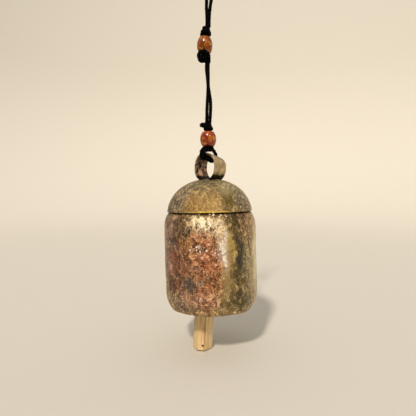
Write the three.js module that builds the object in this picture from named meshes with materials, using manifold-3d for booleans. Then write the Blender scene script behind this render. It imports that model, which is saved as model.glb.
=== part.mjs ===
// A hand-beaten hanging bell: a coated iron barrel under a lapped dome, a strip hoop on the crown,
// and a wooden clapper on a wire link. It hangs in a doubled black cord with two knotted glass beads.
// Millimetres, +Z up. The origin is the underside of the hanging loop's top, where a hook carries it.
// The hoop's axis lies along Y.

import * as THREE from 'three';
import { mergeVertices } from 'three/addons/utils/BufferGeometryUtils.js';
import Module from 'manifold-3d';

const wasm = await Module();
wasm.setup();

// Driving dimensions, in millimetres and degrees

const clearance = 0.3; // between pieces that touch

const cordDiameter = 2.2; // one braided strand
const cordTurn = 37.2; // from X to the plane of the hanging loop and of the clapper's swing
const loopDrop = 41.5; // from the loop's inner top to the first knot
const doubledLength = 35; // the pair of strands between the beads' knots

const upperBeadX = -3.3; // places beside the plumb line, in the loop's plane
const upperKnotX = -3.9;
const upperEntryX = -1.3; // where the loop's two strands enter the first knot
const doubledX = -1.75; // where the pair leaves the second knot
const lowerBeadX = -1.2;

const upperBeadDiameter = 9.5;
const upperBeadHeight = 10.2;
const lowerBeadDiameter = 10;
const lowerBeadHeight = 9.2;
const beadOval = 1.34; // the bead is the middle of an oval this many times its height
const beadBore = 4.8;

const upperTopKnotHeight = 6.5;
const upperBottomKnotHeight = 5.4;
const lowerTopKnotHeight = 5.1;
const lowerBottomKnotHeight = 2.6;
const knotCrown = 4.8; // the round lump of a knot on which a cord swings
const tailLength = 2.6; // the cut end beside the third knot

const slingDrop = 3.3; // from the last knot down to the cord's middle under the hoop's top

const hoopDiameter = 16;
const hoopWidth = 11.5;
const hoopWall = 1;
const hoopOffset = 1.3; // the hoop was brazed this far beside the crown's centre
const footWidth = 6.5; // the brazing under the hoop
const bellLean = 1.5; // so the bell hangs this far askew

const sheet = 1.2; // the coated sheet of the dome and the body
const domeDiameter = 52.8; // at the skirt's edge
const domeHeight = 20.2;
const domeOval = 24; // half height of the rounded outline whose upper part is the dome
const domeFullness = 2.15; // power of that outline, 2 being an ellipse
const neckLap = 4; // how far the body's neck reaches up inside the skirt
const bodyHeight = 57.9; // from the skirt's edge to the rim
const bellDiameter = 56.8;
const shoulderFall = 3.45; // how fast the shoulder swells from the neck to the belly
const rimRoll = 8.5; // height of the turned-in rim
const rimTuck = 3.2; // how far the rim turns in
const rimWave = 0.35; // the rim's uneven hammering
const seamLift = 0.9; // how far the lapped sheet's outer edge stands proud
const seamWidth = 30; // angle over which it rises
const seamAngle = 127; // from X to the lapped edge, at the back

const eyeWire = 1.8;
const eyeDrop = 8; // from the dome's inside to the middle of the staple's bight
const eyeHalfWidth = 4.6;
const eyeFoot = 6.5; // length of each foot that is brazed to the dome
const linkWire = 1.4;
const linkReach = 11.5; // from the staple's bight to the wire in the clapper's hole
const linkHalfWidth = 4.3;

const clapperLength = 89;
const clapperDiameter = 12.2;
const clapperTaper = 0.82; // the top's width as a share of the tip's
const clapperLean = 4.2; // from the bell's axis, to the left in the loop's plane
const clapperBevel = 0.6;
const tongueThickness = 6; // the clapper's top is cut to a flat tongue
const tongueLength = 10;
const linkHole = 2.2;
const linkHoleDepth = 4.2; // below the clapper's top
const tipHole = 1.5;
const tipHoleHeight = 3; // above the clapper's tip

// Numbers of facets

const aroundBell = 56;
const aroundHoop = 40;
const aroundBead = 24;
const domeSteps = 9;

// Heights that follow, down from the loop's inner top

const rad = THREE.MathUtils.degToRad;
const strand = cordDiameter / 2;

const upperTopKnotTop = -loopDrop - clearance;
const upperBeadTop = upperTopKnotTop - upperTopKnotHeight - clearance;
const upperBottomKnotTop = upperBeadTop - upperBeadHeight - clearance;
const doubledTop = upperBottomKnotTop - upperBottomKnotHeight - clearance;
const lowerTopKnotTop = doubledTop - doubledLength - clearance;
const lowerBeadTop = lowerTopKnotTop - lowerTopKnotHeight - clearance;
const lowerBottomKnotTop = lowerBeadTop - lowerBeadHeight - clearance;
const bellHinge = lowerBottomKnotTop - lowerBottomKnotHeight - slingDrop;

// Geometry helpers

// Shared corners merged, only positions kept, and the folded faces at a pole left out.
function merged(geometry) {
  const bare = new THREE.BufferGeometry();
  bare.setAttribute('position', geometry.getAttribute('position'));
  bare.setIndex(geometry.index);
  const joined = mergeVertices(bare, 1e-4);
  const index = joined.index.array;
  const kept = [];
  for (let i = 0; i < index.length; i += 3) {
    const [a, b, c] = [index[i], index[i + 1], index[i + 2]];
    if (a !== b && b !== c && c !== a) kept.push(a, b, c);
  }
  joined.setIndex(kept);
  return joined;
}

// A closed geometry as a solid that can be joined and cut.
function solid(geometry) {
  const closed = merged(geometry);
  return new wasm.Manifold(
    new wasm.Mesh({
      numProp: 3,
      vertProperties: new Float32Array(closed.getAttribute('position').array),
      triVerts: new Uint32Array(closed.index.array),
    }),
  );
}

// A joined or cut solid as a geometry again.
function geometryOf(body) {
  const facets = body.getMesh();
  const geometry = new THREE.BufferGeometry();
  geometry.setAttribute('position', new THREE.BufferAttribute(facets.vertProperties, 3));
  geometry.setIndex(new THREE.BufferAttribute(facets.triVerts, 1));
  return geometry;
}

function joined(geometries) {
  return geometries.map(solid).reduce((whole, piece) => whole.add(piece));
}

// A round section swept along a smooth curve through the points.
function tube(points, diameter, steps, sides = 8) {
  const path = new THREE.CatmullRomCurve3(points.map((point) => new THREE.Vector3(...point)));
  const ring = [];
  for (let i = 0; i < sides; i += 1) {
    const angle = (2 * Math.PI * (i + 0.5)) / sides;
    ring.push(new THREE.Vector2(Math.cos(angle), Math.sin(angle)).multiplyScalar(diameter / 2));
  }
  const section = new THREE.Shape(ring);
  return new THREE.ExtrudeGeometry(section, { steps, bevelEnabled: false, extrudePath: path });
}

// A closed profile of [radius, height] points turned about Z.
function turned(profile, sides) {
  const points = profile.map(([radius, height]) => new THREE.Vector2(radius, height));
  return new THREE.LatheGeometry(points, sides).rotateX(Math.PI / 2);
}

// An upright cylinder between two heights.
function rod(x, y, top, bottom, diameter, sides = 8) {
  return new THREE.CylinderGeometry(diameter / 2, diameter / 2, top - bottom, sides)
    .rotateX(Math.PI / 2)
    .translate(x, y, (top + bottom) / 2);
}

function piece(name, geometry, look) {
  geometry.computeVertexNormals();
  const node = new THREE.Mesh(geometry, new THREE.MeshStandardMaterial(look));
  node.name = name;
  return node;
}

// Finishes

const coatedIron = { color: 0x8f6d45, roughness: 0.55, metalness: 0.8 };
const hoopBrass = { color: 0x8e7a50, roughness: 0.6, metalness: 0.7 };
const ironWire = { color: 0x4a4541, roughness: 0.6, metalness: 0.8 };
const paleWood = { color: 0xcfae82, roughness: 0.75, metalness: 0 };
const blackCord = { color: 0x0c0b0b, roughness: 0.9, metalness: 0 };
const amberGlass = { color: 0xa8530f, roughness: 0.15, metalness: 0 };
const redGlass = { color: 0xa83c12, roughness: 0.15, metalness: 0 };

const bellStack = new THREE.Group();

// The cord, in the plane of its hanging loop

const loopPlane = new THREE.Group();
loopPlane.rotation.z = rad(cordTurn);
bellStack.add(loopPlane);

// The hanging loop rises from the first knot as a touching pair and opens round a hook.
const hangingRoute = [
  [-1.94, -0.97, -41.5], [-1.94, -0.97, -38], [-2.08, -0.84, -34.5], [-2.25, -0.44, -31],
  [-2.2, 0, -26.5], [-2.55, 0, -20], [-3.4, 0, -12], [-4.15, 0, -5], [-3.6, 0, -0.9],
  [-2.07, 0, 0.56], [0, 0, 1.1], [2.07, 0, 0.56], [3.6, 0, -0.9], [4.15, 0, -5],
  [3.05, 0, -12], [1.75, 0, -20], [0.6, 0, -26.5], [-0.1, 0.44, -31],
  [-0.465, 0.84, -34.5], [-0.66, 0.97, -38], [-0.66, 0.97, -41.5],
];
loopPlane.add(piece('hanging_loop_cord', tube(hangingRoute, cordDiameter, 30), blackCord));

// Between the beads the pair turns slowly about itself.
const doubledLeftRoute = [
  [-1.265, -1.055, -64.8], [-1.265, -1.055, -67.5], [-1.24, -1.13, -72], [-1.25, -1.16, -77],
  [-1.4, -1.07, -82], [-1.7, -0.67, -87], [-2.01, -0.05, -92], [-2.07, 0.45, -96.5],
  [-2.2, 0.58, -99.8],
];
const doubledRightRoute = [
  [-2.235, 1.055, -64.8], [-2.235, 1.055, -67.5], [-1.76, 1.13, -72], [-1.25, 1.16, -77],
  [-0.5, 1.07, -82], [0.2, 0.67, -87], [0.31, 0.05, -92], [0.07, -0.45, -96.5],
  [-0.2, -0.58, -99.8],
];
loopPlane.add(piece('doubled_cord_left', tube(doubledLeftRoute, cordDiameter, 10), blackCord));
loopPlane.add(piece('doubled_cord_right', tube(doubledRightRoute, cordDiameter, 10), blackCord));

// One turn of cord round a knot, tilted as it lies.
function knotTurn(x, z, radius, tilt, lean = 0) {
  return new THREE.TorusGeometry(radius, strand, 6, 16)
    .rotateX(rad(lean))
    .rotateY(rad(tilt))
    .translate(x, 0, z);
}

function knotLump(x, z, diameter = knotCrown) {
  return new THREE.SphereGeometry(diameter / 2, 14, 10).rotateX(Math.PI / 2).translate(x, 0, z);
}

// The two strands side by side, as they enter a knot or run through a bead.
function pair(x, top, bottom, turn) {
  const [dx, dy] = [0.9 * strand * Math.cos(rad(turn)), 0.9 * strand * Math.sin(rad(turn))];
  return [
    rod(x - dx, -dy, top, bottom, cordDiameter),
    rod(x + dx, dy, top, bottom, cordDiameter),
  ];
}

// Above the upper bead: a cone of turns, with both strands on through the bead.
const upperTopKnotBottom = upperBeadTop + clearance;
const upperStemEnd = upperBottomKnotTop + clearance;
loopPlane.add(piece('upper_bead_top_knot', geometryOf(joined([
  ...pair(upperEntryX, upperTopKnotTop, upperTopKnotTop - knotCrown / 2, 57),
  knotLump(upperEntryX - 0.7, upperTopKnotTop - knotCrown / 2, knotCrown * 0.92),
  knotTurn(upperEntryX - 0.8, upperTopKnotTop - 2.4, 1.75, 14),
  knotTurn(upperBeadX + 0.5, upperTopKnotBottom + 1.75, 2.4, -14),
  ...pair(upperBeadX, upperTopKnotBottom + 2, upperStemEnd, 0),
])), blackCord));

// Below the upper bead: the widest turn lies against the bead, the round crown under it.
const doubledHinge = upperBottomKnotTop - upperBottomKnotHeight + knotCrown / 2;
loopPlane.add(piece('upper_bead_bottom_knot', geometryOf(joined([
  knotTurn(upperKnotX, upperBottomKnotTop - 1.85, 2.9, 14),
  knotLump(upperKnotX, upperBottomKnotTop - knotCrown / 2, knotCrown * 0.95),
  knotLump(doubledX, doubledHinge),
  knotTurn(doubledX - 0.5, doubledHinge + 0.1, 1.9, -8),
])), blackCord));

// Above the lower bead: the pair swings on the crown, and a cut tail points left.
const slingHinge = lowerTopKnotTop - knotCrown / 2;
const lowerTopKnotBottom = lowerBeadTop + clearance;
const lowerStemEnd = lowerBottomKnotTop + clearance;
const tail = rod(0, 0, tailLength, 0, cordDiameter)
  .rotateY(rad(-105))
  .translate(lowerBeadX - 2.2, 0, slingHinge);
loopPlane.add(piece('lower_bead_top_knot', geometryOf(joined([
  knotLump(lowerBeadX, slingHinge),
  knotTurn(lowerBeadX, lowerTopKnotBottom + 1.55, 2.4, 9),
  ...pair(lowerBeadX, lowerTopKnotBottom + 2, lowerStemEnd, 0),
  tail,
])), blackCord));

// Below the lower bead: one flat turn, out of whose sides the sling comes.
const lowerBottomKnotMiddle = lowerBottomKnotTop - lowerBottomKnotHeight / 2;
loopPlane.add(piece('lower_bead_bottom_knot', geometryOf(joined([
  knotTurn(lowerBeadX, lowerBottomKnotMiddle, 2.2, 5),
  rod(lowerBeadX, 0, lowerBottomKnotTop, lowerBottomKnotTop - lowerBottomKnotHeight, 4, 12),
])), blackCord));

// The sling: two turns of cord through the hoop, heights from the middle of the inner one.
const slingInnerRoute = [
  [0.8, -4.3, 4.65], [0.95, -5.7, 4.25], [1.15, -7.1, 3.05], [1.15, -7.4, 1.7], [1.05, -7.1, 0.45],
  [0.75, -5.8, -0.15], [0.35, -3, 0], [0, 0, 0], [-0.35, 3, 0], [-0.8, 5.8, -0.15],
  [-0.95, 7.1, 0.45], [-1, 7.45, 1.7], [-0.9, 7, 3.1], [-0.5, 5.3, 4.4], [0.1, 3.2, 4.65],
];
const slingOuterRoute = [
  [-1.7, -4.3, 4.65], [-1.5, -5.7, 4.25], [-1.3, -7.1, 3.05], [-1.3, -7.45, 1.7], [-1.35, -7.3, 0.3],
  [-1.35, -6.3, -1], [-1.05, -4.4, -1.95], [-0.45, -2.2, -2.3], [0, 0, -2.35], [-0.35, 2.5, -2.4],
  [-0.85, 5.2, -2.4], [-1.4, 7.5, -1.9], [-2, 9.1, -0.2], [-2.3, 9.6, 1.6], [-2.5, 8.9, 3.2],
  [-2.95, 6.8, 4.4], [-2.95, 5, 4.65], [-2.5, 3.1, 4.65],
];
const sling = (route) => tube(route, cordDiameter, 26).translate(0, 0, bellHinge);
bellStack.add(piece('sling_cord_inner', sling(slingInnerRoute), blackCord));
bellStack.add(piece('sling_cord_outer', sling(slingOuterRoute), blackCord));

// The glass beads: the middle of an oval, cut flat at both ends, with a bore for both strands.
function bead(diameter, height) {
  const bore = beadBore / 2;
  const profile = [[bore, -height / 2]];
  const rows = 9;
  for (let i = 0; i <= rows; i += 1) {
    const z = height * (i / rows - 0.5);
    const share = (2 * z) / (height * beadOval);
    profile.push([(diameter / 2) * Math.sqrt(1 - share ** 2), z]);
  }
  profile.push([bore, height / 2], [bore, -height / 2]);
  return turned(profile, aroundBead);
}

loopPlane.add(piece('bead_upper',
  bead(upperBeadDiameter, upperBeadHeight)
    .translate(upperBeadX, 0, upperBeadTop - upperBeadHeight / 2),
  amberGlass));
loopPlane.add(piece('bead_lower',
  bead(lowerBeadDiameter, lowerBeadHeight)
    .translate(lowerBeadX, 0, lowerBeadTop - lowerBeadHeight / 2),
  redGlass));

// The bell, leaning about the cord that carries it. Heights here are from that cord's middle.

const bell = new THREE.Group();
bell.position.z = bellHinge;
bell.rotation.y = -rad(bellLean);
bellStack.add(bell);

const hoopRadius = hoopDiameter / 2;
const hoopMiddle = strand + clearance + hoopWall - hoopRadius;
const domeTop = hoopMiddle - hoopRadius - clearance;
const skirtEdge = domeTop - domeHeight;

// The outline's greatest radius, set so that the skirt's edge has its stated diameter.
const edgeRise = 1 - domeHeight / domeOval;
const domeWidest = domeDiameter / 2 / (1 - edgeRise ** domeFullness) ** (1 / domeFullness);

// The dome's radius at a depth below its top. With a wall, the radius of its inside.
function domeRadius(depth, wall = 0) {
  const rise = 1 - Math.max(0, depth - wall) / (domeOval - wall);
  return (domeWidest - wall) * (1 - rise ** domeFullness) ** (1 / domeFullness);
}

// The depth below the dome's top at which its inside has a radius.
function insideDepth(radius) {
  const share = (radius / (domeWidest - sheet)) ** domeFullness;
  return sheet + (domeOval - sheet) * (1 - (1 - share) ** (1 / domeFullness));
}

// Steps are closer together at the crown, where the outline is flat.
function domeProfile() {
  const outside = [[0, 0]];
  const inside = [[0, -sheet]];
  for (let i = 1; i <= domeSteps; i += 1) {
    const depth = domeHeight * (i / domeSteps) ** 1.7;
    const under = sheet + (domeHeight - sheet) * (i / domeSteps) ** 1.7;
    outside.push([domeRadius(depth), -depth]);
    inside.push([domeRadius(under, sheet), -under]);
  }
  return [...inside, ...outside.reverse()];
}

bell.add(piece('dome_cap',
  turned(domeProfile(), aroundBell).translate(-hoopOffset, 0, domeTop),
  coatedIron));

// The body's outer radius at a depth below the skirt's edge.
const neckRadius = domeRadius(domeHeight, sheet) - clearance;
const bellyRadius = bellDiameter / 2;
function bodyRadius(depth) {
  const belly = bellyRadius - (bellyRadius - neckRadius) * Math.exp(-depth / shoulderFall);
  const roll = Math.max(0, (depth - bodyHeight + rimRoll) / rimRoll);
  return belly - rimTuck * roll ** 2;
}

function bodyProfile() {
  const shoulder = [0.35, 0.9, 1.7, 2.9, 4.6].map((share) => share * shoulderFall);
  const roll = [0.45, 0.75, 0.93].map((share) => bodyHeight - rimRoll * (1 - share));
  const depths = [0, ...shoulder, bodyHeight / 2, bodyHeight - rimRoll, ...roll, bodyHeight];
  const neckTop = domeRadius(domeHeight - neckLap, sheet) - clearance;
  const outside = [[neckTop, neckLap], ...depths.map((depth) => [bodyRadius(depth), -depth])];
  const inside = outside.map(([radius, z]) => [radius - sheet, z]);
  return [outside[0], ...inside, ...outside.reverse()];
}

// The hammered unevenness grows towards the rim, and the lapped edge stands proud at the back.
function beaten(geometry) {
  const points = geometry.getAttribute('position');
  for (let i = 0; i < points.count; i += 1) {
    const [x, y, z] = [points.getX(i), points.getY(i), points.getZ(i)];
    const radius = Math.hypot(x, y);
    const angle = Math.atan2(y, x);
    const low = THREE.MathUtils.clamp(-z / bodyHeight, 0, 1);
    let push = rimWave * low * (Math.cos(7 * angle + 1) + 0.6 * Math.cos(4 * angle));
    const behind = THREE.MathUtils.euclideanModulo(rad(seamAngle) - angle, 2 * Math.PI);
    const outside = radius > bodyRadius(-z) - sheet / 2;
    if (outside && behind < rad(seamWidth)) {
      const lifted = THREE.MathUtils.smoothstep(-z, 0, 2 * shoulderFall);
      push += seamLift * lifted * (1 - behind / rad(seamWidth)) ** 2;
    }
    points.setX(i, x * (1 + push / radius));
    points.setY(i, y * (1 + push / radius));
  }
  return geometry;
}

bell.add(piece('bell_body',
  beaten(turned(bodyProfile(), aroundBell)).translate(-hoopOffset, 0, skirtEdge),
  coatedIron));

// The crown hoop: a strip bent to a ring, on a brazed foot that is shaped to the dome.
function crownHoop() {
  const half = hoopWidth / 2;
  const inner = hoopRadius - hoopWall;
  const strip = [[inner, -half], [hoopRadius, -half], [hoopRadius, half], [inner, half], [inner, -half]];
  const ring = turned(strip, aroundHoop).rotateX(Math.PI / 2).translate(0, 0, hoopMiddle);
  const foot = new THREE.BoxGeometry(footWidth, hoopWidth * 0.8, 3 * hoopWall)
    .translate(0, 0, hoopMiddle - hoopRadius);
  const crown = domeProfile().slice(domeSteps + 1);
  const under = turned([[0, -domeHeight], ...crown], aroundBell)
    .translate(-hoopOffset, 0, domeTop + clearance);
  return geometryOf(solid(ring).add(solid(foot)).subtract(solid(under)));
}

bell.add(piece('crown_hoop', crownHoop(), hoopBrass));

// The clapper's gear hangs on the bell's axis, turned to the plane of its swing.
const clapperGear = new THREE.Group();
clapperGear.position.set(-hoopOffset, 0, domeTop);
clapperGear.rotation.z = rad(cordTurn);
bell.add(clapperGear);

const eyeDepth = sheet + eyeDrop;
const linkHoleZ = -eyeDepth - linkReach;

// The staple under the dome: two brazed feet and a round bight.
function staple() {
  const seat = (x) => [x, 0, -insideDepth(x) - clearance - eyeWire / 2];
  const footEnd = eyeHalfWidth + eyeFoot;
  const bight = (angle) => [
    eyeHalfWidth * Math.cos(rad(angle)), 0, -eyeDepth + eyeHalfWidth * (1 - Math.sin(rad(angle))),
  ];
  const half = [
    seat(footEnd), seat((footEnd + eyeHalfWidth) / 2), seat(eyeHalfWidth + 1.3),
    [eyeHalfWidth + 0.1, 0, (-eyeDepth + eyeHalfWidth - insideDepth(eyeHalfWidth)) / 2],
    bight(5), bight(32), bight(60),
  ];
  const mirror = half.map(([x, y, z]) => [-x, y, z]).reverse();
  return tube([...half, [0, 0, -eyeDepth], ...mirror], eyeWire, 28);
}

clapperGear.add(piece('clapper_eye', staple(), ironWire));

// The link: wire bent round the staple and through the clapper, its ends meeting on one leg.
function link() {
  const archTop = -eyeDepth + (eyeWire + linkWire) / 2 + clearance;
  const archMiddle = archTop - linkHalfWidth;
  const arch = [0, 30, 60, 90, 120, 150, 180].map((angle) => [
    0, -linkHalfWidth * Math.cos(rad(angle)), archMiddle + linkHalfWidth * Math.sin(rad(angle)),
  ]);
  const bar = tongueThickness / 2;
  const corner = linkHalfWidth - bar;
  const meeting = (archMiddle + linkHoleZ) / 2;
  const side = (y) => [
    [0, y * linkHalfWidth, linkHoleZ + 1.9 * corner],
    [0, y * (linkHalfWidth - 0.25 * corner), linkHoleZ + 0.65 * corner],
    [0, y * (bar + 0.1 * corner), linkHoleZ + 0.06],
    [0, y * bar * 0.6, linkHoleZ],
  ];
  return tube([
    [0, linkHalfWidth, meeting - linkWire / 4], ...side(1), ...side(-1).reverse(),
    ...arch, [0, linkHalfWidth, meeting + linkWire / 4],
  ], linkWire, 32);
}

clapperGear.add(piece('wire_link', link(), ironWire));

// The clapper: a whittled six-sided stick that thins to a flat tongue. Heights are from its hole.
function clapperStick() {
  const corners = [-90, -33, 13, 85, 140, 205];
  const section = new THREE.Shape(corners.map((corner) => new THREE.Vector2(
    Math.sin(rad(corner)), -Math.cos(rad(corner)),
  ).multiplyScalar(clapperDiameter / 2 - clapperBevel)));
  const stick = new THREE.ExtrudeGeometry(section, {
    depth: clapperLength - 2 * clapperBevel,
    steps: 4,
    bevelThickness: clapperBevel,
    bevelSize: clapperBevel,
    bevelSegments: 1,
  }).translate(0, 0, linkHoleDepth - clapperLength + clapperBevel);
  const points = stick.getAttribute('position');
  for (let i = 0; i < points.count; i += 1) {
    const up = (points.getZ(i) - linkHoleDepth + clapperLength) / clapperLength;
    const width = 1 - (1 - clapperTaper) * THREE.MathUtils.smoothstep(up, 0.25, 1);
    points.setX(i, points.getX(i) * width);
    points.setY(i, points.getY(i) * width);
  }
  const cut = (side) => new THREE.BoxGeometry(2 * clapperDiameter, clapperDiameter, tongueLength + 1)
    .translate(0, side * (tongueThickness + clapperDiameter) / 2,
      linkHoleDepth - (tongueLength - 1) / 2);
  const drill = (height, diameter) => new THREE.CylinderGeometry(
    diameter / 2, diameter / 2, 2 * clapperDiameter, 12,
  ).translate(0, 0, height);
  return geometryOf(
    solid(stick)
      .subtract(solid(cut(1)))
      .subtract(solid(cut(-1)))
      .subtract(solid(drill(0, linkHole)))
      .subtract(solid(drill(linkHoleDepth - clapperLength + tipHoleHeight, tipHole))),
  );
}

const clapper = piece('clapper', clapperStick(), paleWood);
clapper.position.z = linkHoleZ;
clapper.rotation.y = rad(clapperLean);
clapperGear.add(clapper);

export default bellStack;
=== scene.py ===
# A hand-beaten hanging bell on a knotted cord, dressed for its picture.
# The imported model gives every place. Sizes are in millimetres and are turned to metres where used.

import math

import bmesh
import bpy
from mathutils import Matrix, Vector, noise
from mathutils.geometry import interpolate_bezier


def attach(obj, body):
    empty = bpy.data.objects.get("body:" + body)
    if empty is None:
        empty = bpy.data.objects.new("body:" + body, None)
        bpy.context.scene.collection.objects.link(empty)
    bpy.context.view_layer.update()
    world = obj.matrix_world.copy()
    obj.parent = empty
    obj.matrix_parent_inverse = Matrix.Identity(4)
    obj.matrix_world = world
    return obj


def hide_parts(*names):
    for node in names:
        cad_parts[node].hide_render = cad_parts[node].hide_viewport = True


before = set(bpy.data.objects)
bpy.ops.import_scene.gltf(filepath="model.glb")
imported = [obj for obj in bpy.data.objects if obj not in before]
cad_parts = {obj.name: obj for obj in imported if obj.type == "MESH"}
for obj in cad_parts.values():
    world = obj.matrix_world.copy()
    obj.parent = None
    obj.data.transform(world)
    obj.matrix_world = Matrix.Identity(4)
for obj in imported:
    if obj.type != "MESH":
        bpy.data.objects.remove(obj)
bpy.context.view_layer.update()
MM = 0.001

# Camera: it stands 236 mm from the bell, level with the dome's edge, and looks a little down.
# The cord's plane faces it.
cord_turn = math.radians(37.2)
camera_side = -1.33
camera_distance = 236
camera_height = -140.7
camera_fall = 2.86
front = Matrix.Rotation(cord_turn, 3, "Z")


def add_object(name, data):
    """A new object in the scene, with its data."""
    made = bpy.data.objects.new(name, data)
    bpy.context.scene.collection.objects.link(made)
    return made


camera_data = bpy.data.cameras.new("camera")
camera_data.sensor_fit = "HORIZONTAL"
camera_data.sensor_width = 36
camera_data.lens = 32.9
camera_data.clip_start = 0.01
camera = add_object("camera", camera_data)
camera.location = front @ Vector((camera_side, -camera_distance, camera_height)) * MM
camera.rotation_euler = (math.radians(90 - camera_fall), 0, cord_turn)
bpy.context.scene.camera = camera

# The cord: black waxed cotton of 2.2 mm, four thick yarns braided over a core.
# It rises from the first knot as a touching pair, and opens into the loop that hangs on a hook.
# Between the beads the pair turns slowly about itself.
yarn_radius = 0.53
yarn_ring = 0.54
yarn_rise = 0.1
braid_pitch = 5.0
core_radius = 0.98
curve_points = 40
cord_place = Matrix.Rotation(cord_turn, 4, "Z")


def smooth_route(points, step=0.35):
    """Evenly spaced points on a smooth curve through the given ones."""
    corners = [Vector(point) for point in points]
    corners = [2 * corners[0] - corners[1], *corners, 2 * corners[-1] - corners[-2]]
    dense = []
    for before, start, end, after in zip(corners, corners[1:], corners[2:], corners[3:]):
        leave = start + (end - before) / 6
        arrive = end - (after - start) / 6
        dense += interpolate_bezier(start, leave, arrive, end, curve_points)[:-1]
    dense.append(corners[-2])
    route = [dense[0]]
    for point in dense:
        if (point - route[-1]).length >= step:
            route.append(point)
    if (dense[-1] - route[-1]).length > step / 4:
        route.append(dense[-1])
    return route


def new_tube(name, radius, roundness):
    """An empty curve, whose lines become round tubes with closed ends."""
    tube = bpy.data.curves.new(name, "CURVE")
    tube.dimensions = "3D"
    tube.bevel_depth = radius * MM
    tube.bevel_resolution = roundness
    tube.use_fill_caps = True
    return tube


def add_line(tube, points, swell=1):
    """Adds a line through the points to a tube, thicker or thinner by a factor."""
    spline = tube.splines.new("POLY")
    spline.points.add(len(points) - 1)
    for knot, point in zip(spline.points, points):
        knot.co = (*point * MM, 1)
        knot.radius = swell


def piece_from_tube(tube, place):
    """A piece with a tube's form as its mesh."""
    name = tube.name
    mould = bpy.data.objects.new(name + "_mould", tube)
    mesh = bpy.data.meshes.new_from_object(mould)
    mesh.name = name
    bpy.data.objects.remove(mould)
    bpy.data.curves.remove(tube)
    mesh.transform(place)
    mesh.shade_smooth()
    return add_object(name, mesh)


def braid(tube, route):
    """Adds one length of braided cord, its core and four yarns, to a tube."""
    along = 0
    side = (route[1] - route[0]).orthogonal()
    yarns = [[] for _ in range(4)]
    for i, point in enumerate(route):
        tangent = (route[min(i + 1, len(route) - 1)] - route[max(i - 1, 0)]).normalized()
        side = (side - tangent * side.dot(tangent)).normalized()
        across = tangent.cross(side)
        along += (point - route[i - 1]).length if i else 0
        phase = math.tau * along / braid_pitch
        for k, yarn in enumerate(yarns):
            hand = 1 if k < 2 else -1
            angle = hand * phase + math.pi * k
            radius = yarn_ring + hand * yarn_rise * math.cos(2 * phase)
            yarn.append(point + radius * (math.cos(angle) * side + math.sin(angle) * across))
    add_line(tube, route, core_radius / yarn_radius)
    for yarn in yarns:
        add_line(tube, yarn)


def braided_piece(name, routes, place=cord_place):
    """One piece of braided cord that follows the routes."""
    tube = new_tube(name, yarn_radius, roundness=1)
    for route in routes:
        braid(tube, route)
    return piece_from_tube(tube, place)


def linear(colour):
    """An sRGB hex value as linear light."""
    parts = [int(colour[i:i + 2], 16) / 255 for i in (1, 3, 5)]
    return (*(c / 12.92 if c < 0.04045 else ((c + 0.055) / 1.055) ** 2.4 for c in parts), 1)


def add_node(tree, kind, inputs=None, stops=None, give=None, **settings):
    """Adds a node with its settings, its values or links, and its ramp's stops; gives an output."""
    made = tree.nodes.new("ShaderNode" + kind)
    for name, value in settings.items():
        setattr(made, name, value)
    for name, value in (inputs or {}).items():
        found = [s for i, s in enumerate(made.inputs) if name in (i, s.name) and s.enabled][0]
        if isinstance(value, bpy.types.NodeSocket):
            tree.links.new(value, found)
        else:
            found.default_value = value
    for i, (place, colour) in enumerate(stops or []):
        stop = made.color_ramp.elements[i] if i < 2 else made.color_ramp.elements.new(place)
        stop.position = place
        stop.color = linear(colour)
    if give:
        return made.outputs[give]
    outputs = [output for output in made.outputs if output.enabled]
    return outputs[0] if outputs else made


def start_material(name, **look):
    """A new material with its shader, whose even values are set."""
    material = bpy.data.materials.new(name)
    material.use_nodes = True
    tree = material.node_tree
    tree.nodes.clear()
    surface = add_node(tree, "BsdfPrincipled", {k.replace("_", " "): v for k, v in look.items()})
    add_node(tree, "OutputMaterial", {"Surface": surface})
    return material, tree, surface.node


# Waxed cotton: nearly black, with a dull sheen on the crowns of the yarns and short stray fibres.
fibre_size = 0.3
waxed_cotton, tree, shader = start_material(
    "waxed black cotton", Roughness=0.85, Specular_IOR_Level=0.06, Metallic=0.0,
)
place = add_node(tree, "TexCoord", give="Object")
fibre = add_node(tree, "TexNoise", {"Vector": place, "Scale": 1000 / fibre_size, "Detail": 3.0})
shade = add_node(tree, "ValToRGB", {"Fac": fibre}, stops=[(0.3, "#010101"), (0.75, "#070708")])
fuzz = add_node(tree, "Bump", {"Height": fibre, "Strength": 0.5, "Distance": 0.08 * MM})
tree.links.new(shade, shader.inputs["Base Color"])
tree.links.new(fuzz, shader.inputs["Normal"])


def finish_piece(piece, material, body, slot, *nodes):
    """Gives a piece its material, hides the model's nodes that it replaces, and ties it to its body. The
    slot is not used.
    """
    piece.data.materials.clear()
    piece.data.materials.append(material)
    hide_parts(*nodes)
    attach(piece, body)


hanging_route = smooth_route([
    (-1.94, -0.97, -41.5), (-1.94, -0.97, -38), (-2.08, -0.84, -34.5), (-2.25, -0.44, -31),
    (-2.2, 0, -26.5), (-2.55, 0, -20), (-3.4, 0, -12), (-4.15, 0, -5), (-3.6, 0, -0.9),
    (-2.07, 0, 0.56), (0, 0, 1.1), (2.07, 0, 0.56), (3.6, 0, -0.9), (4.15, 0, -5),
    (3.05, 0, -12), (1.75, 0, -20), (0.6, 0, -26.5), (-0.1, 0.44, -31),
    (-0.465, 0.84, -34.5), (-0.66, 0.97, -38), (-0.66, 0.97, -41.5),
])
hanging_loop = braided_piece("hanging_loop_braid", [hanging_route])
finish_piece(hanging_loop, waxed_cotton, "hanging_loop", "black_cord", "hanging_loop_cord")

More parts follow.
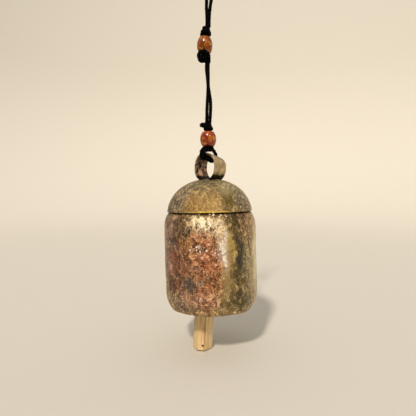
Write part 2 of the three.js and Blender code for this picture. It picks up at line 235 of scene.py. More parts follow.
doubled_routes = {
    "left": smooth_route([
        (-1.265, -1.055, -64.8), (-1.265, -1.055, -67.5), (-1.24, -1.13, -72), (-1.25, -1.16, -77),
        (-1.4, -1.07, -82), (-1.7, -0.67, -87), (-1.94, -0.05, -92), (-2.01, 0.45, -96.5),
        (-2.2, 0.58, -99.8),
    ]),
    "right": smooth_route([
        (-2.235, 1.055, -64.8), (-2.235, 1.055, -67.5), (-1.76, 1.13, -72), (-1.25, 1.16, -77),
        (-0.5, 1.07, -82), (0.2, 0.67, -87), (0.24, 0.05, -92), (0.01, -0.45, -96.5),
        (-0.2, -0.58, -99.8),
    ]),
}
for side_name, route in doubled_routes.items():
    strand = braided_piece("doubled_braid_" + side_name, [route])
    finish_piece(strand, waxed_cotton, "doubled_cord", "black_cord", "doubled_cord_" + side_name)

# The knots: the same cord, both strands tied together over and under each bead.
# Each is two strands wound side by side round the pair that runs through it, drawn tight.
bore_offset = 0.9


def wound(start, end, radii, first_angle, turns):
    """Points of a strand that winds down round a line in the cord's plane, from start to end."""
    count = max(6, round(10 * turns))
    points = []
    for i in range(count + 1):
        share = i / count
        angle = math.radians(first_angle) + math.tau * turns * share
        x = start[0] + (end[0] - start[0]) * share
        z = start[1] + (end[1] - start[1]) * share
        radius = radii[0] + (radii[1] - radii[0]) * share
        points.append((x + radius * math.cos(angle), radius * math.sin(angle), z))
    return points


def stems(x, top, bottom):
    """The two strands side by side, through a bead."""
    middle = (top + bottom) / 2
    return [[(x + dx, 0, z) for z in (top, middle, bottom)] for dx in (-bore_offset, bore_offset)]


knots = {
    "upper_bead_top_knot": [
        [(-1.94, -0.97, -41.3), (-2.1, -0.8, -42.6), (-2.5, -0.5, -44), (-3.4, -0.2, -46)],
        [(-0.66, 0.97, -41.3), (-1.1, 0.8, -42.6), (-1.8, 0.5, -44), (-2.6, 0.2, -46)],
        wound((-2.75, -43.2), (-2.95, -47.3), (1.4, 2.6), 200, 1.9),
        wound((-2.7, -43.8), (-2.9, -47.0), (1.2, 2.3), 20, 1.6),
        [(-1.6, -1.6, -44.2), (-0.7, -1.9, -46), (-0.3, -2.1, -47.6), (-0.6, -1.9, -48.1)],
        *stems(-3.3, -47, -60),
    ],
    "upper_bead_bottom_knot": [
        [(-6.4, 1.8, -60.4), (-7.1, -0.4, -59.9), (-6.6, -2.8, -59), (-5.1, -4.3, -58.4),
         (-3.3, -4.5, -58.6), (-1.7, -3.8, -59.4), (-0.8, -1.9, -60.2), (-1.2, 0.9, -60.8),
         (-2.8, 2.6, -61), (-5, 2.6, -61)],
        wound((-4.0, -60.8), (-3.6, -62.6), (3.0, 2.5), 150, 1.8),
        wound((-3.9, -60.4), (-3.5, -62.0), (2.0, 1.6), -30, 1.5),
        [(-4.2, -2.6, -60.6), (-2.4, -3.2, -61), (-0.9, -2.4, -61.6), (-0.7, -1.4, -62.8),
         (-1.265, -1.055, -64.9)],
        [(-4.6, 0.8, -61.0), (-3.2, 1.8, -61.6), (-2.0, 1.6, -62.6), (-2.235, 1.055, -64.9)],
        [(-3.2, -2.6, -62.0), (-5.3, -2.9, -61.9), (-6.4, -2.4, -62.8), (-5.3, -2.0, -63.6),
         (-3.9, -1.8, -63.2), (-2.9, -1.4, -62.4)],
    ],
    "lower_bead_top_knot": [
        [(-2.2, 0.58, -99.5), (-2.1, 0.5, -101), (-1.9, 0.3, -102.4), (-2.0, 0, -104)],
        [(-0.2, -0.58, -99.5), (-0.3, -0.5, -101), (-0.5, -0.3, -102.4), (-0.4, 0, -104)],
        wound((-1.2, -101.4), (-1.4, -104.1), (1.0, 2.45), 160, 1.8),
        wound((-1.2, -101.6), (-1.4, -103.8), (0.8, 2.2), -20, 1.5),
        [(-2.2, -1.5, -102.5), (-3.4, -1.7, -102.4), (-4.6, -1.6, -102.3), (-5.6, -1.5, -101.8),
         (-4.9, -1.4, -101.2), (-3.6, -1.3, -101.2), (-2.2, -1.0, -101.6)],
        *stems(-1.2, -103.6, -115.4),
    ],
    "lower_bead_bottom_knot": [
        [(1.0, 1.0, -115.9), (1.1, -1.4, -115.5), (-0.3, -3.2, -115.2), (-2.4, -3.3, -115.2),
         (-3.9, -1.8, -115.7), (-3.9, 0.6, -116.1), (-2.2, 2.2, -116.4), (0.2, 2.0, -116.5),
         (1.1, 0, -116.5), (0.2, -2.4, -116.6), (-1.8, -3.0, -116.7), (-3.4, -2.0, -116.6)],
        wound((-1.3, -115.5), (-1.3, -116.8), (1.3, 1.3), 200, 1.8),
    ],
}
for name, routes in knots.items():
    knot = braided_piece(name + "_braid", [smooth_route(points) for points in routes])
    body = "hanging_loop" if name.startswith("upper") else "sling"
    finish_piece(knot, waxed_cotton, body, "black_cord", name)

# The sling: two turns of the cord, out of the last knot, over the hoop's edges and through it.
# The bell hangs and swings on them.
bell_hinge = -120.9
sling_place = Matrix.Translation(Vector((0, 0, bell_hinge)) * MM)
sling_routes = {
    "inner": [
        (0.8, -4.1, 4.75), (0.95, -5.7, 4.3), (1.15, -7.1, 3.1), (1.15, -7.5, 1.8), (1.05, -7.2, 0.6),
        (0.7, -5.8, -0.3), (0.35, -3, -0.5), (0, 0, -0.9), (-0.35, 3, -1.35), (-0.8, 5.6, -1.9),
        (-0.95, 7, -1.2), (-1, 7.6, 0.2), (-0.95, 7.4, 1.7), (-0.8, 6, 3.2), (-0.6, 4.2, 4.45),
        (-0.4, 2.6, 5.1),
    ],
    "outer": [
        (-1.6, -4.1, 4.75), (-1.4, -5.7, 4.3), (-1.2, -7.1, 3.1), (-1.2, -7.5, 1.8),
        (-1.5, -7.1, 0.25), (-1.8, -5.9, -0.95), (-2.1, -3, -1.1), (-2.15, -1.4, -1.2),
        (-2.3, 1, -1.5), (-2.6, 3, -2), (-3, 5.6, -2.4), (-3, 7.6, -1.8), (-2.5, 9, -0.4),
        (-2.35, 9.4, 1), (-2.25, 8.7, 2.3), (-2, 7, 3.6), (-1.8, 5.3, 4.7), (-1.5, 3.6, 5.5),
    ],
}
for name, points in sling_routes.items():
    turn = braided_piece("sling_braid_" + name, [smooth_route(points)], sling_place)
    finish_piece(turn, waxed_cotton, "sling", "black_cord", "sling_cord_" + name)

# The beads: streaked glass wound on a rod and fire polished, each an oval cut flat at both ends.
# The bore takes both strands. The upper one is amber, the lower red-orange and rounder.
bead_oval = 1.34
bead_bore = 4.8
bead_rows = 22
streak_lean = math.radians(24)
speck_size = 1.1
upper_bead_place = cord_place @ Matrix.Translation(Vector((-3.3, 0, -53.7)) * MM)
lower_bead_place = cord_place @ Matrix.Translation(Vector((-1.2, 0, -110.1)) * MM)


def piece_from_shape(name, shape):
    """A piece with a finished shape as its mesh."""
    mesh = bpy.data.meshes.new(name)
    shape.to_mesh(mesh)
    shape.free()
    return add_object(name, mesh)


def turned_piece(name, profile, place, steps=72, closed=True):
    """A piece turned about the upright axis from a profile of (radius, height)."""
    turned = bmesh.new()
    corners = [turned.verts.new((radius * MM, 0, z * MM)) for radius, z in profile]
    ring = list(zip(corners, corners[1:] + corners[:1] if closed else corners[1:]))
    edges = [turned.edges.new(pair) for pair in ring]
    bmesh.ops.spin(
        turned, geom=corners + edges, cent=(0, 0, 0), axis=(0, 0, 1), angle=math.tau, steps=steps,
        use_merge=True,
    )
    bmesh.ops.remove_doubles(turned, verts=turned.verts, dist=0.001 * MM)
    bmesh.ops.recalc_face_normals(turned, faces=turned.faces)
    turned.transform(place)
    piece = piece_from_shape(name, turned)
    piece.data.shade_smooth()
    return piece


def soften_edges(piece, width, segments=3, angle=40):
    """Rounds a piece's sharp edges."""
    bevel = piece.modifiers.new("soft edges", "BEVEL")
    bevel.width = width * MM
    bevel.segments = segments
    bevel.limit_method = "ANGLE"
    bevel.angle_limit = math.radians(angle)


def glass_bead(name, place, diameter, height):
    """One bead, the middle part of an oval."""
    outside = []
    for i in range(bead_rows + 1):
        z = height * (i / bead_rows - 0.5)
        share = 2 * z / (height * bead_oval)
        outside.append((diameter / 2 * math.sqrt(1 - share ** 2), z))
    profile = [(bead_bore / 2, -height / 2), *outside, (bead_bore / 2, height / 2)]
    bead = turned_piece(name, profile, place)
    soften_edges(bead, 0.3)
    return bead


def streaked_glass(name, place, stops, streak, speck_colour):
    """Glossy glass with wound streaks and a few pale specks, a little light passing through."""
    material, tree, shader = start_material(
        name, Roughness=0.16, IOR=1.5,
        Subsurface_Weight=0.25, Subsurface_Scale=1.5 * MM, Subsurface_Radius=(1.0, 0.45, 0.15),
    )
    world_place = add_node(tree, "TexCoord", give="Object")
    local = add_node(
        tree, "Mapping",
        {"Vector": world_place, "Location": place.translation, "Rotation": (streak_lean, 0, cord_turn)},
        vector_type="TEXTURE",
    )
    swirl = add_node(
        tree, "TexNoise",
        {"Vector": local, "Scale": 1000 / streak, "Detail": 4.0, "Roughness": 0.6, "Distortion": 1.2},
    )
    colour = add_node(tree, "ValToRGB", {"Fac": swirl}, stops=stops)
    speck = add_node(tree, "TexNoise", {"Vector": local, "Scale": 1000 / speck_size, "Detail": 1.0})
    dots = add_node(tree, "MapRange", {"Value": speck, "From Min": 0.66, "From Max": 0.74})
    mixed = add_node(
        tree, "Mix", {"Factor": dots, "A": colour, "B": linear(speck_colour)}, data_type="RGBA",
    )
    tree.links.new(mixed, shader.inputs["Base Color"])
    return material


amber = streaked_glass(
    "amber streaked glass", upper_bead_place,
    [(0.3, "#3a1203"), (0.43, "#7a3406"), (0.56, "#a2590b"), (0.68, "#c9902c")],
    streak=2.6, speck_colour="#e0b070",
)
amber_bead = glass_bead("bead_upper_glass", upper_bead_place, diameter=9.5, height=10.2)
finish_piece(amber_bead, amber, "upper_bead", "amber_glass", "bead_upper")
red = streaked_glass(
    "red-orange streaked glass", lower_bead_place,
    [(0.3, "#4a0f03"), (0.43, "#862607"), (0.54, "#a84c0e"), (0.66, "#c48c24")],
    streak=2.8, speck_colour="#e0b080",
)
red_bead = glass_bead("bead_lower_glass", lower_bead_place, diameter=10, height=9.2)
finish_piece(red_bead, red, "lower_bead", "red_glass", "bead_lower")

# The dome: a disc of sheet iron beaten to a low dome, its skirt lapped over the barrel's neck.
# Powdered brass and copper were fused on in the fire, which leaves a pitted, cloudy coat.
sheet = 1.2
hoop_offset = 1.3
bell_lean = -1.5
dome_top = -13.5
dome_height = 19.9
dome_oval = 24
dome_fullness = 2.15
dome_widest = 26.637
dome_rows = 34
dome_crowding = 1.6
swell_spacing = 17
belly_radius = 28.4
bell_place = (
    sling_place
    @ Matrix.Rotation(math.radians(bell_lean), 4, "Y")
    @ Matrix.Translation(Vector((-hoop_offset, 0, dome_top)) * MM)
)
front_place = bell_place @ Matrix.Rotation(cord_turn, 4, "Z")
skirt_place = front_place @ Matrix.Translation(Vector((0, 0, -dome_height)) * MM)


def dome_radius(depth):
    """The dome's outer radius at a depth below its top."""
    rise = 1 - max(0, depth) / dome_oval
    return dome_widest * (1 - rise ** dome_fullness) ** (1 / dome_fullness)


def beat(piece, spacing, depth, swell):
    """Leaves shallow hammer marks on a sheet, and a slow unevenness over three marks or so."""
    shaped = bmesh.new()
    shaped.from_mesh(piece.data)
    shaped.normal_update()
    for vert in shaped.verts:
        where = vert.co / MM
        near = noise.voronoi(where / spacing)[0][0]
        mark = depth * (2 * near * near - 0.5)
        vert.co += vert.normal * MM * (mark + swell * noise.noise(where / swell_spacing))
    shaped.to_mesh(piece.data)
    shaped.free()
    piece.data.shade_smooth()


def give_wall(piece, thickness, edge=0.25):
    """Turns an outer surface into sheet of its thickness, with softly broken edges."""
    wall = piece.modifiers.new("sheet", "SOLIDIFY")
    wall.thickness = thickness * MM
    wall.offset = -1
    soften_edges(piece, edge, segments=2, angle=50)


dome_profile = [(0, 0)]
for i in range(1, dome_rows + 1):
    depth = dome_height * (i / dome_rows) ** dome_crowding
    dome_profile.append((dome_radius(depth), -depth))
dome = turned_piece("dome_shell", dome_profile, front_place, steps=220, closed=False)
beat(dome, spacing=6.5, depth=0.1, swell=0.22)
give_wall(dome, sheet)


# The coat's patterns, by the sizes of their marks on the sheet.
cloud_size = 9
drift_size = 6
drift_reach = 8
patch_size = 5
mottle_size = 2.6
hue_size = 2.4
grain_size = 1.2
pit_spacing = 1.3
glint_spacing = 1.7


def sheet_place(tree):
    """Where a point lies on the unrolled sheet: metres right of the front, and up from the skirt."""
    place = add_node(tree, "TexCoord", give="Object")
    local = add_node(
        tree, "Mapping",
        {"Vector": place, "Location": skirt_place.translation, "Rotation": skirt_place.to_euler()},
        vector_type="TEXTURE",
    )
    parts = add_node(tree, "SeparateXYZ", {"Vector": local}).node
    ahead = add_node(tree, "Math", {0: parts.outputs["Y"], 1: -1.0}, operation="MULTIPLY")
    angle = add_node(tree, "Math", {0: parts.outputs["X"], 1: ahead}, operation="ARCTAN2")
    across = add_node(tree, "Math", {0: angle, 1: belly_radius * MM}, operation="MULTIPLY")
    flat = add_node(tree, "CombineXYZ", {"X": across, "Y": parts.outputs["Z"]})
    return flat, local


def stain(tree, flat, ragged, centre, size, softness):
    """A mask for an uneven oval on the sheet: its centre and half sizes, and how soft its edge is."""
    offset = add_node(
        tree, "VectorMath", {0: flat, 1: (centre[0] * MM, centre[1] * MM, 0)}, operation="SUBTRACT",
    )
    scaled = add_node(
        tree, "VectorMath", {0: offset, 1: (size[0] * MM, size[1] * MM, 1)}, operation="DIVIDE",
    )
    reach = add_node(tree, "VectorMath", {0: scaled}, operation="LENGTH")
    uneven = add_node(tree, "Math", {0: reach, 1: ragged}, operation="ADD")
    return add_node(
        tree, "MapRange", {"Value": uneven, "From Min": 1 + softness, "From Max": 1 - softness},
        interpolation_type="SMOOTHSTEP",
    )


def stains_and_painted_light_on_metal(tree, place, ragged, ground, stains_and_painted_light):
    """The ground's colour with the stains and painted highlights laid over it, and how metallic each place
    is.
    """
    colour = ground
    metal = 0.92
    for tint, centre, size, softness, metallic in stains_and_painted_light:
        mask = stain(tree, place, ragged, centre, size, softness)
        colour = add_node(
            tree, "Mix", {"Factor": mask, "A": colour, "B": linear(tint)}, data_type="RGBA",
        )
        metal = add_node(tree, "Mix", {"Factor": mask, "A": metal, "B": metallic})
    return colour, metal


def crust_mask(tree, place, ragged, areas):
    """Where grains crowd in the coat: the strongest of the weighted areas."""
    crust = 0.0
    for centre, size, softness, weight in areas:
        mask = stain(tree, place, ragged, centre, size, softness)
        mask = add_node(tree, "Math", {0: mask, 1: weight}, operation="MULTIPLY")
        crust = add_node(tree, "Math", {0: crust, 1: mask}, operation="MAXIMUM")
    return crust


def grain_contrast(tree, place, ragged, grain, mottle, crust, rubbed):
    """How light or dark each grain is, stronger in the crust and weaker where the coat is rubbed."""
    contrast = add_node(tree, "Mix", {"Factor": crust, "A": 5.5, "B": 7.5})
    strength = add_node(tree, "Math", {0: grain, 1: contrast, 2: 1.0}, operation="MULTIPLY_ADD")
    patchy = add_node(
        tree, "MapRange",
        {"Value": mottle, "From Min": 0.37, "From Max": 0.63, "To Min": 0.3, "To Max": 1.7},
        clamp=False,
    )
    strength = add_node(tree, "Math", {0: strength, 1: patchy}, operation="MULTIPLY")
    for centre, size, weight in rubbed:
        worn = stain(tree, place, ragged, centre, size, 0.6)
        worn = add_node(tree, "Math", {0: worn, 1: weight}, operation="MULTIPLY")
        strength = add_node(tree, "Mix", {"Factor": worn, "A": strength, "B": 1.0})
    return add_node(tree, "Math", {0: strength, 1: 0.12}, operation="MAXIMUM")


def pit_mask(tree, local, spread):
    """Round pits, in some patches of the coat and none in others."""
    cells = add_node(
        tree, "TexVoronoi", {"Vector": local, "Scale": 1000 / pit_spacing, "Randomness": 1.0},
    )
    size = add_node(
        tree, "MapRange", {"Value": spread, "From Min": 0.47, "From Max": 0.75, "To Max": 0.4},
    )
    depth = add_node(tree, "Math", {0: size, 1: cells}, operation="SUBTRACT")
    return add_node(tree, "MapRange", {"Value": depth, "From Max": 0.15, "To Max": 0.8})


def painted_glint_mask(tree, local, flat, ragged, spread, grain, crust, bright):
    """Small bright dots of bare metal with painted glints: some in the crust between the pitted patches,
    and more in the bright places.
    """
    cells = add_node(
        tree, "TexVoronoi", {"Vector": local, "Scale": 1000 / glint_spacing, "Randomness": 1.0},
    )
    size = add_node(
        tree, "MapRange", {"Value": spread, "From Min": 0.54, "From Max": 0.4, "To Max": 0.3},
    )
    size = add_node(tree, "Math", {0: size, 1: crust}, operation="MULTIPLY")
    for centre, half_size, weight in bright:
        lit = stain(tree, flat, ragged, centre, half_size, 0.5)
        size = add_node(tree, "Math", {0: lit, 1: weight, 2: size}, operation="MULTIPLY_ADD")
    size = add_node(tree, "Math", {0: grain, 1: 1.2, 2: size}, operation="MULTIPLY_ADD")
    size = add_node(tree, "Math", {0: size, 1: cells}, operation="SUBTRACT")
    return add_node(tree, "MapRange", {"Value": size, "From Max": 0.12})


def fused_coat(name, ground, stains_and_painted_light, crust_areas, crust_colours, edge, glinting=(), rubbed=()):
    """Iron sheet with brass and copper fused on: a cloudy metal with stains and painted highlights, pits,
    and bright grains with painted glints.

    ground is a ramp of colours for the coat's clouds. Each of the stains, some of them painted highlights,
    is its colour, place, half sizes, softness and how metallic it is. A crust area is its place, half
    sizes, softness and weight.
    edge is the colour, place and half sizes of a painted line along the skirt's joint: a painted highlight
    on the dome's edge, and on the barrel the dark joint with painted shade in its gap. glinting lists the
    places, half sizes and weights of bare bright metal with painted glints, and rubbed those of coat worn
    smooth."""
    material, tree, shader = start_material(name)
    flat, local = sheet_place(tree)
    drawn = add_node(tree, "Mapping", {"Vector": local, "Scale": (1, 1, 0.6)})
    cloud = add_node(
        tree, "TexNoise",
        {"Vector": drawn, "Scale": 1000 / cloud_size, "Detail": 8.0, "Roughness": 0.66},
    )
    drift = add_node(
        tree, "TexNoise", {"Vector": local, "Scale": 1000 / drift_size, "Detail": 4.0}, give="Color",
    )
    shift = add_node(tree, "VectorMath", {0: drift, 1: (0.5, 0.5, 0.5)}, operation="SUBTRACT")
    shift = add_node(tree, "VectorMath", {0: shift, "Scale": drift_reach * MM}, operation="SCALE")
    moved = add_node(tree, "VectorMath", {0: flat, 1: shift}, operation="ADD")
    mottle = add_node(
        tree, "TexNoise",
        {"Vector": drawn, "Scale": 1000 / mottle_size, "Detail": 6.0, "Roughness": 0.75,
         "Distortion": 0.6},
    )
    ragged = add_node(tree, "MapRange", {"Value": mottle, "To Min": -2.2, "To Max": 2.2})
    ground_colour = add_node(tree, "ValToRGB", {"Fac": cloud}, stops=ground)
    colour, metal = stains_and_painted_light_on_metal(tree, moved, ragged, ground_colour, stains_and_painted_light)
    crust = crust_mask(tree, moved, ragged, crust_areas)

    hues = add_node(
        tree, "TexNoise",
        {"Vector": local, "Scale": 1000 / hue_size, "Detail": 6.0, "Roughness": 0.7,
         "Distortion": 1.0},
    )
    crumbs = add_node(tree, "ValToRGB", {"Fac": hues}, stops=crust_colours)
    share = add_node(tree, "Math", {0: crust, 1: 0.6}, operation="MULTIPLY")
    colour = add_node(tree, "Mix", {"Factor": share, "A": colour, "B": crumbs}, data_type="RGBA")
    grains = add_node(
        tree, "TexNoise",
        {"Vector": local, "Scale": 1000 / grain_size, "Detail": 3.0, "Roughness": 0.85,
         "Distortion": 1.2},
    )
    grain = add_node(tree, "Math", {0: grains, 1: 0.5}, operation="SUBTRACT")
    strength = grain_contrast(tree, moved, ragged, grain, mottle, crust, rubbed)
    colour = add_node(tree, "VectorMath", {0: colour, "Scale": strength}, operation="SCALE")

    # The line along the skirt's joint: a painted highlight on the dome, and painted shade in the joint's
    # gap on the barrel.
    tint, centre, size = edge
    painted_edge_line = stain(tree, flat, ragged, centre, size, 0.5)
    colour = add_node(
        tree, "Mix", {"Factor": painted_edge_line, "A": colour, "B": linear(tint)}, data_type="RGBA",
    )
    spread = add_node(
        tree, "TexNoise", {"Vector": local, "Scale": 1000 / patch_size, "Detail": 3.0},
    )
    pits = pit_mask(tree, local, spread)
    colour = add_node(
        tree, "Mix", {"Factor": pits, "A": colour, "B": linear("#2a1e16")}, data_type="RGBA",
    )
    # Near-white dots: bare bright metal with painted glints.
    painted_glints = painted_glint_mask(tree, local, flat, ragged, spread, grain, crust, glinting)
    colour = add_node(
        tree, "Mix", {"Factor": painted_glints, "A": colour, "B": linear("#fbf1e4")}, data_type="RGBA",
    )
    tree.links.new(colour, shader.inputs["Base Color"])
    tree.links.new(metal, shader.inputs["Metallic"])

    rough = add_node(
        tree, "MapRange",
        {"Value": mottle, "From Min": 0.36, "From Max": 0.64, "To Min": 0.36, "To Max": 0.6},
    )
    rough = add_node(tree, "Mix", {"Factor": crust, "A": rough, "B": 0.42})
    tree.links.new(rough, shader.inputs["Roughness"])
    relief = add_node(tree, "Math", {0: grains, 1: 0.5, 2: mottle}, operation="MULTIPLY_ADD")
    hollow = add_node(tree, "Math", {0: pits, 1: -0.3, 2: relief}, operation="MULTIPLY_ADD")
    bump = add_node(tree, "Bump", {"Height": hollow, "Strength": 0.85, "Distance": 0.6 * MM})
    tree.links.new(bump, shader.inputs["Normal"])
    return material


dome_coat = fused_coat(
    "brass and copper fused on iron, dome",
    [(0.3, "#7c6848"), (0.45, "#a58c60"), (0.6, "#b79f70"), (0.75, "#ad9474")],
    [
        ("#97794b", (-3, 5), (10, 6), 0.6, 0.95),
        ("#a88a56", (3, 6), (5, 7), 0.6, 0.95),
        ("#9c7c4a", (-13, 5), (6, 6), 0.5, 0.9),
        ("#7d6736", (13.5, 7), (4, 7), 0.7, 0.9),
        ("#90866c", (26, 8), (7, 6), 0.5, 0.85),
        ("#b39a7c", (34, 4), (4, 8), 0.5, 0.85),
        ("#a08a70", (-22, 8), (6, 8), 0.5, 0.85),
        ("#86745c", (-32, 5), (6, 7), 0.5, 0.85),
        ("#ad9a72", (0, 18), (40, 3), 0.5, 0.85),
        ("#c6b284", (20, 14.5), (10, 4), 0.7, 0.9),
        ("#a8845a", (60, 6), (10, 7), 0.6, 0.9),
        ("#6c5c3e", (78, 8), (7, 6), 0.6, 0.8),
        ("#9c7452", (-62, 6), (10, 7), 0.6, 0.85),
    ],
    [((-27, 5), (7, 7), 0.6, 0.8), ((27, 6), (7, 8), 0.6, 1.0)],
    [(0.36, "#5a4c38"), (0.5, "#98835c"), (0.6, "#b8a88a"), (0.7, "#d8d0c0")],
    # A painted highlight: a bright line along the front of the skirt's rounded edge.
    edge=("#e8c65e", (-2, 0), (12, 0.8)),
    rubbed=[((-6, 6), (18, 7), 0.4), ((13, 7), (5, 8), 0.6)],
)
finish_piece(dome, dome_coat, "bell", "coated_sheet_iron", "dome_cap")

# The barrel: sheet iron rolled round, lapped and brazed at the back, then coated with the dome.
# Its neck is drawn in under the skirt, and its rim is turned in with the hammer.
body_height = 58.6
neck_radius = 24.888
neck_top_radius = 24.22
neck_lap = 4
shoulder_fall = 3.45
rim_roll = 8.5
rim_tuck = 3.2
rim_wave = 0.35
rim_skew = 0.4
seam_angle = 127 - math.degrees(cord_turn)
seam_spring = 30
seam_lift = 0.9
lap_angle = 12
lap_lift = 0.35
scarf_angle = 16
scarf_wall = 0.4
barrel_columns = 236
barrel_rows = 86
sheet_rows = [(0, -neck_lap), (0.05, 0), (0.28, 9), (0.78, body_height - 9), (1, body_height)]


def body_radius(depth):
    """The barrel's outer radius at a depth below the skirt's edge."""
    if depth < 0:
        return neck_radius + (neck_top_radius - neck_radius) * -depth / neck_lap
    belly = belly_radius - (belly_radius - neck_radius) * math.exp(-depth / shoulder_fall)
    roll = max(0, (depth - body_height + rim_roll) / rim_roll)
    return belly - rim_tuck * roll ** 2


def between(value, marks):
    """Reads a value off straight lines between marks of (from, to)."""
    for (x0, y0), (x1, y1) in zip(marks, marks[1:]):
        if value <= x1:
            return y0 + (y1 - y0) * (value - x0) / (x1 - x0)
    return marks[-1][1]


# The flat sheet is rolled round from the lap's inner end to its outer end, which springs up at the seam.
# Both ends are hammered thin, as a scarf.
rolled = bmesh.new()
bmesh.ops.create_grid(rolled, x_segments=barrel_columns, y_segments=barrel_rows, size=0.5)
scarf = {}
for vert in rolled.verts:
    turn = (vert.co.x + 0.5) * (360 + lap_angle)
    behind = 360 + lap_angle - turn
    depth = between(0.5 - vert.co.y, sheet_rows)
    angle = math.radians(seam_angle - behind)
    lifted = min(1, max(0, depth / (2 * shoulder_fall)))
    push = seam_lift * lifted * max(0, 1 - behind / seam_spring) ** 2
    push += lap_lift * lifted * max(0, 1 - turn / lap_angle)
    low = max(0, depth / body_height)
    world_angle = angle + cord_turn
    push += rim_wave * low * (math.cos(7 * world_angle + 1) + 0.6 * math.cos(4 * world_angle))
    radius = body_radius(depth) + push
    depth += rim_skew * max(0, depth / body_height - 0.8) * 5 * math.cos(angle)
    vert.co = Vector((radius * math.cos(angle), radius * math.sin(angle), -depth)) * MM
    scarf[vert.index] = scarf_wall + (1 - scarf_wall) * min(1, turn / scarf_angle, behind / scarf_angle)
rolled.transform(skirt_place)
barrel = piece_from_shape("barrel_shell", rolled)
beat(barrel, spacing=7, depth=0.12, swell=0.2)
thinned = barrel.vertex_groups.new(name="scarf")
for index, weight in scarf.items():
    thinned.add([index], weight, "REPLACE")
give_wall(barrel, sheet)
barrel.modifiers["sheet"].vertex_group = "scarf"

barrel_coat = fused_coat(
    "brass and copper fused on iron, barrel",
    [(0.28, "#6a5840"), (0.42, "#97805a"), (0.55, "#b49b70"), (0.7, "#a58a6c")],
    [
        ("#8c7060", (-27, -22), (12, 26), 0.5, 0.8),
        ("#a98a76", (-31, -14), (5, 10), 0.6, 0.85),
        ("#6a483c", (-23, -33), (7, 13), 0.5, 0.7),
        ("#a0745e", (-19, -24), (3, 4), 0.6, 0.8),
        ("#8c5e48", (-21, -41), (3.5, 4), 0.6, 0.8),
        ("#c9a08c", (-28, -31), (3, 3.5), 0.6, 0.85),
        ("#4e3a30", (-26, -42), (4, 5), 0.6, 0.7),
        ("#b88c70", (-16, -45), (3.5, 2.5), 0.6, 0.85),
        ("#a87256", (-2.5, -29), (10.5, 23), 0.45, 0.9),
        ("#c58c60", (-9, -22), (4, 11), 0.6, 0.9),
        ("#96694e", (-16, -28), (6, 12), 0.5, 0.8),
        ("#8f6038", (1, -36), (6.5, 8), 0.6, 0.9),
        ("#7a5238", (-4, -36), (4, 2.2), 0.6, 0.8),
        ("#8e6a3c", (6, -33), (3, 5), 0.6, 0.9),
        # The next two are a painted highlight: the pale cream band below the seam and its arc down to the
        # right.
        ("#ead6b2", (-3, -6), (10, 5), 0.5, 0.98),
        ("#d8c29e", (4, -8.5), (4.5, 5), 0.6, 0.98),
        ("#8d7148", (0, -1), (40, 1.7), 0.6, 0.9),
        ("#a87748", (-14.5, -16.5), (4.5, 3.5), 0.5, 0.85),
        ("#6c5842", (-17.5, -9), (6, 6.5), 0.5, 0.8),
        ("#c47c5e", (-24.5, -23.5), (2.2, 3.5), 0.5, 0.85),
        ("#5c5650", (-26, -18), (3, 2.4), 0.5, 0.6),
        ("#55504c", (-8.3, -30), (2.6, 2.2), 0.5, 0.6),
        ("#55544c", (-13.5, -39.5), (4.5, 4), 0.6, 0.6),
        ("#5e5852", (-6.3, -39.5), (2.2, 1.8), 0.5, 0.6),
        ("#97806a", (-19, -51), (12, 5), 0.5, 0.85),
        ("#bc8e72", (-5, -49), (9, 4.5), 0.5, 0.9),
        ("#c4a664", (11.2, -19), (3.8, 13), 0.6, 1.0),
        # A painted highlight: the white streak down the right of the copper.
        ("#f6e8d4", (7.6, -23), (2.4, 12.5), 0.5, 1.0),
        ("#a08a5a", (11, -42), (5, 13), 0.5, 0.9),
        ("#57492a", (14.6, -5), (5, 6), 0.6, 0.8),
        ("#62542f", (16.9, -30), (4, 24), 0.6, 0.8),
        ("#3a3a30", (17.9, -24), (2.7, 9), 0.5, 0.6),
        ("#5c5034", (18, -50), (8, 5), 0.6, 0.7),
        ("#aa9a76", (27, -30), (6, 24), 0.5, 0.9),
        # Pale coat down the right side, lightened with painted reflection.
        ("#e4d4b2", (35, -26), (5, 22), 0.5, 0.95),
        ("#b0785a", (62, -34), (9, 15), 0.6, 0.9),
        ("#5c5038", (50, -12), (5, 9), 0.6, 0.7),
        ("#c9b282", (80, -18), (7, 16), 0.6, 0.95),
        ("#8a5c46", (-58, -20), (8, 12), 0.6, 0.8),
        ("#c0a878", (-74, -38), (8, 14), 0.6, 0.95),
        ("#55504a", (-46, -40), (5, 6), 0.6, 0.6),
    ],
    [
        ((-1, -27), (9.5, 17), 0.5, 1.0), ((-4, -44), (9, 10), 0.8, 0.6), ((-22, -28), (10, 20), 0.8, 0.45),
        ((26, -8), (8, 9), 0.7, 0.6), ((62, -34), (9, 14), 0.7, 0.8), ((-58, -20), (8, 11), 0.7, 0.7),
    ],
    [(0.34, "#50342a"), (0.43, "#8e5c42"), (0.5, "#b46a44"), (0.57, "#ac8a5e"), (0.66, "#dcb89c")],
    # The dark line under the skirt is the brazed joint, with painted shade in its gap.
    edge=("#2e2318", (0, -0.4), (90, 0.8)),
    # Painted glints crowd along the braze under the skirt, along the rim's roll and in two patches of
    # copper.
    glinting=[
        ((-1, -1.7), (11, 1.1), 0.45), ((-9, -48), (7, 2), 0.25), ((-9, -22), (6, 6), 0.14),
        ((-28, -27), (4, 6), 0.14),
    ],
    rubbed=[((10.5, -28), (4.2, 30), 0.75), ((34, -28), (4, 20), 0.75)],
)
finish_piece(barrel, barrel_coat, "bell", "coated_sheet_iron", "bell_body")

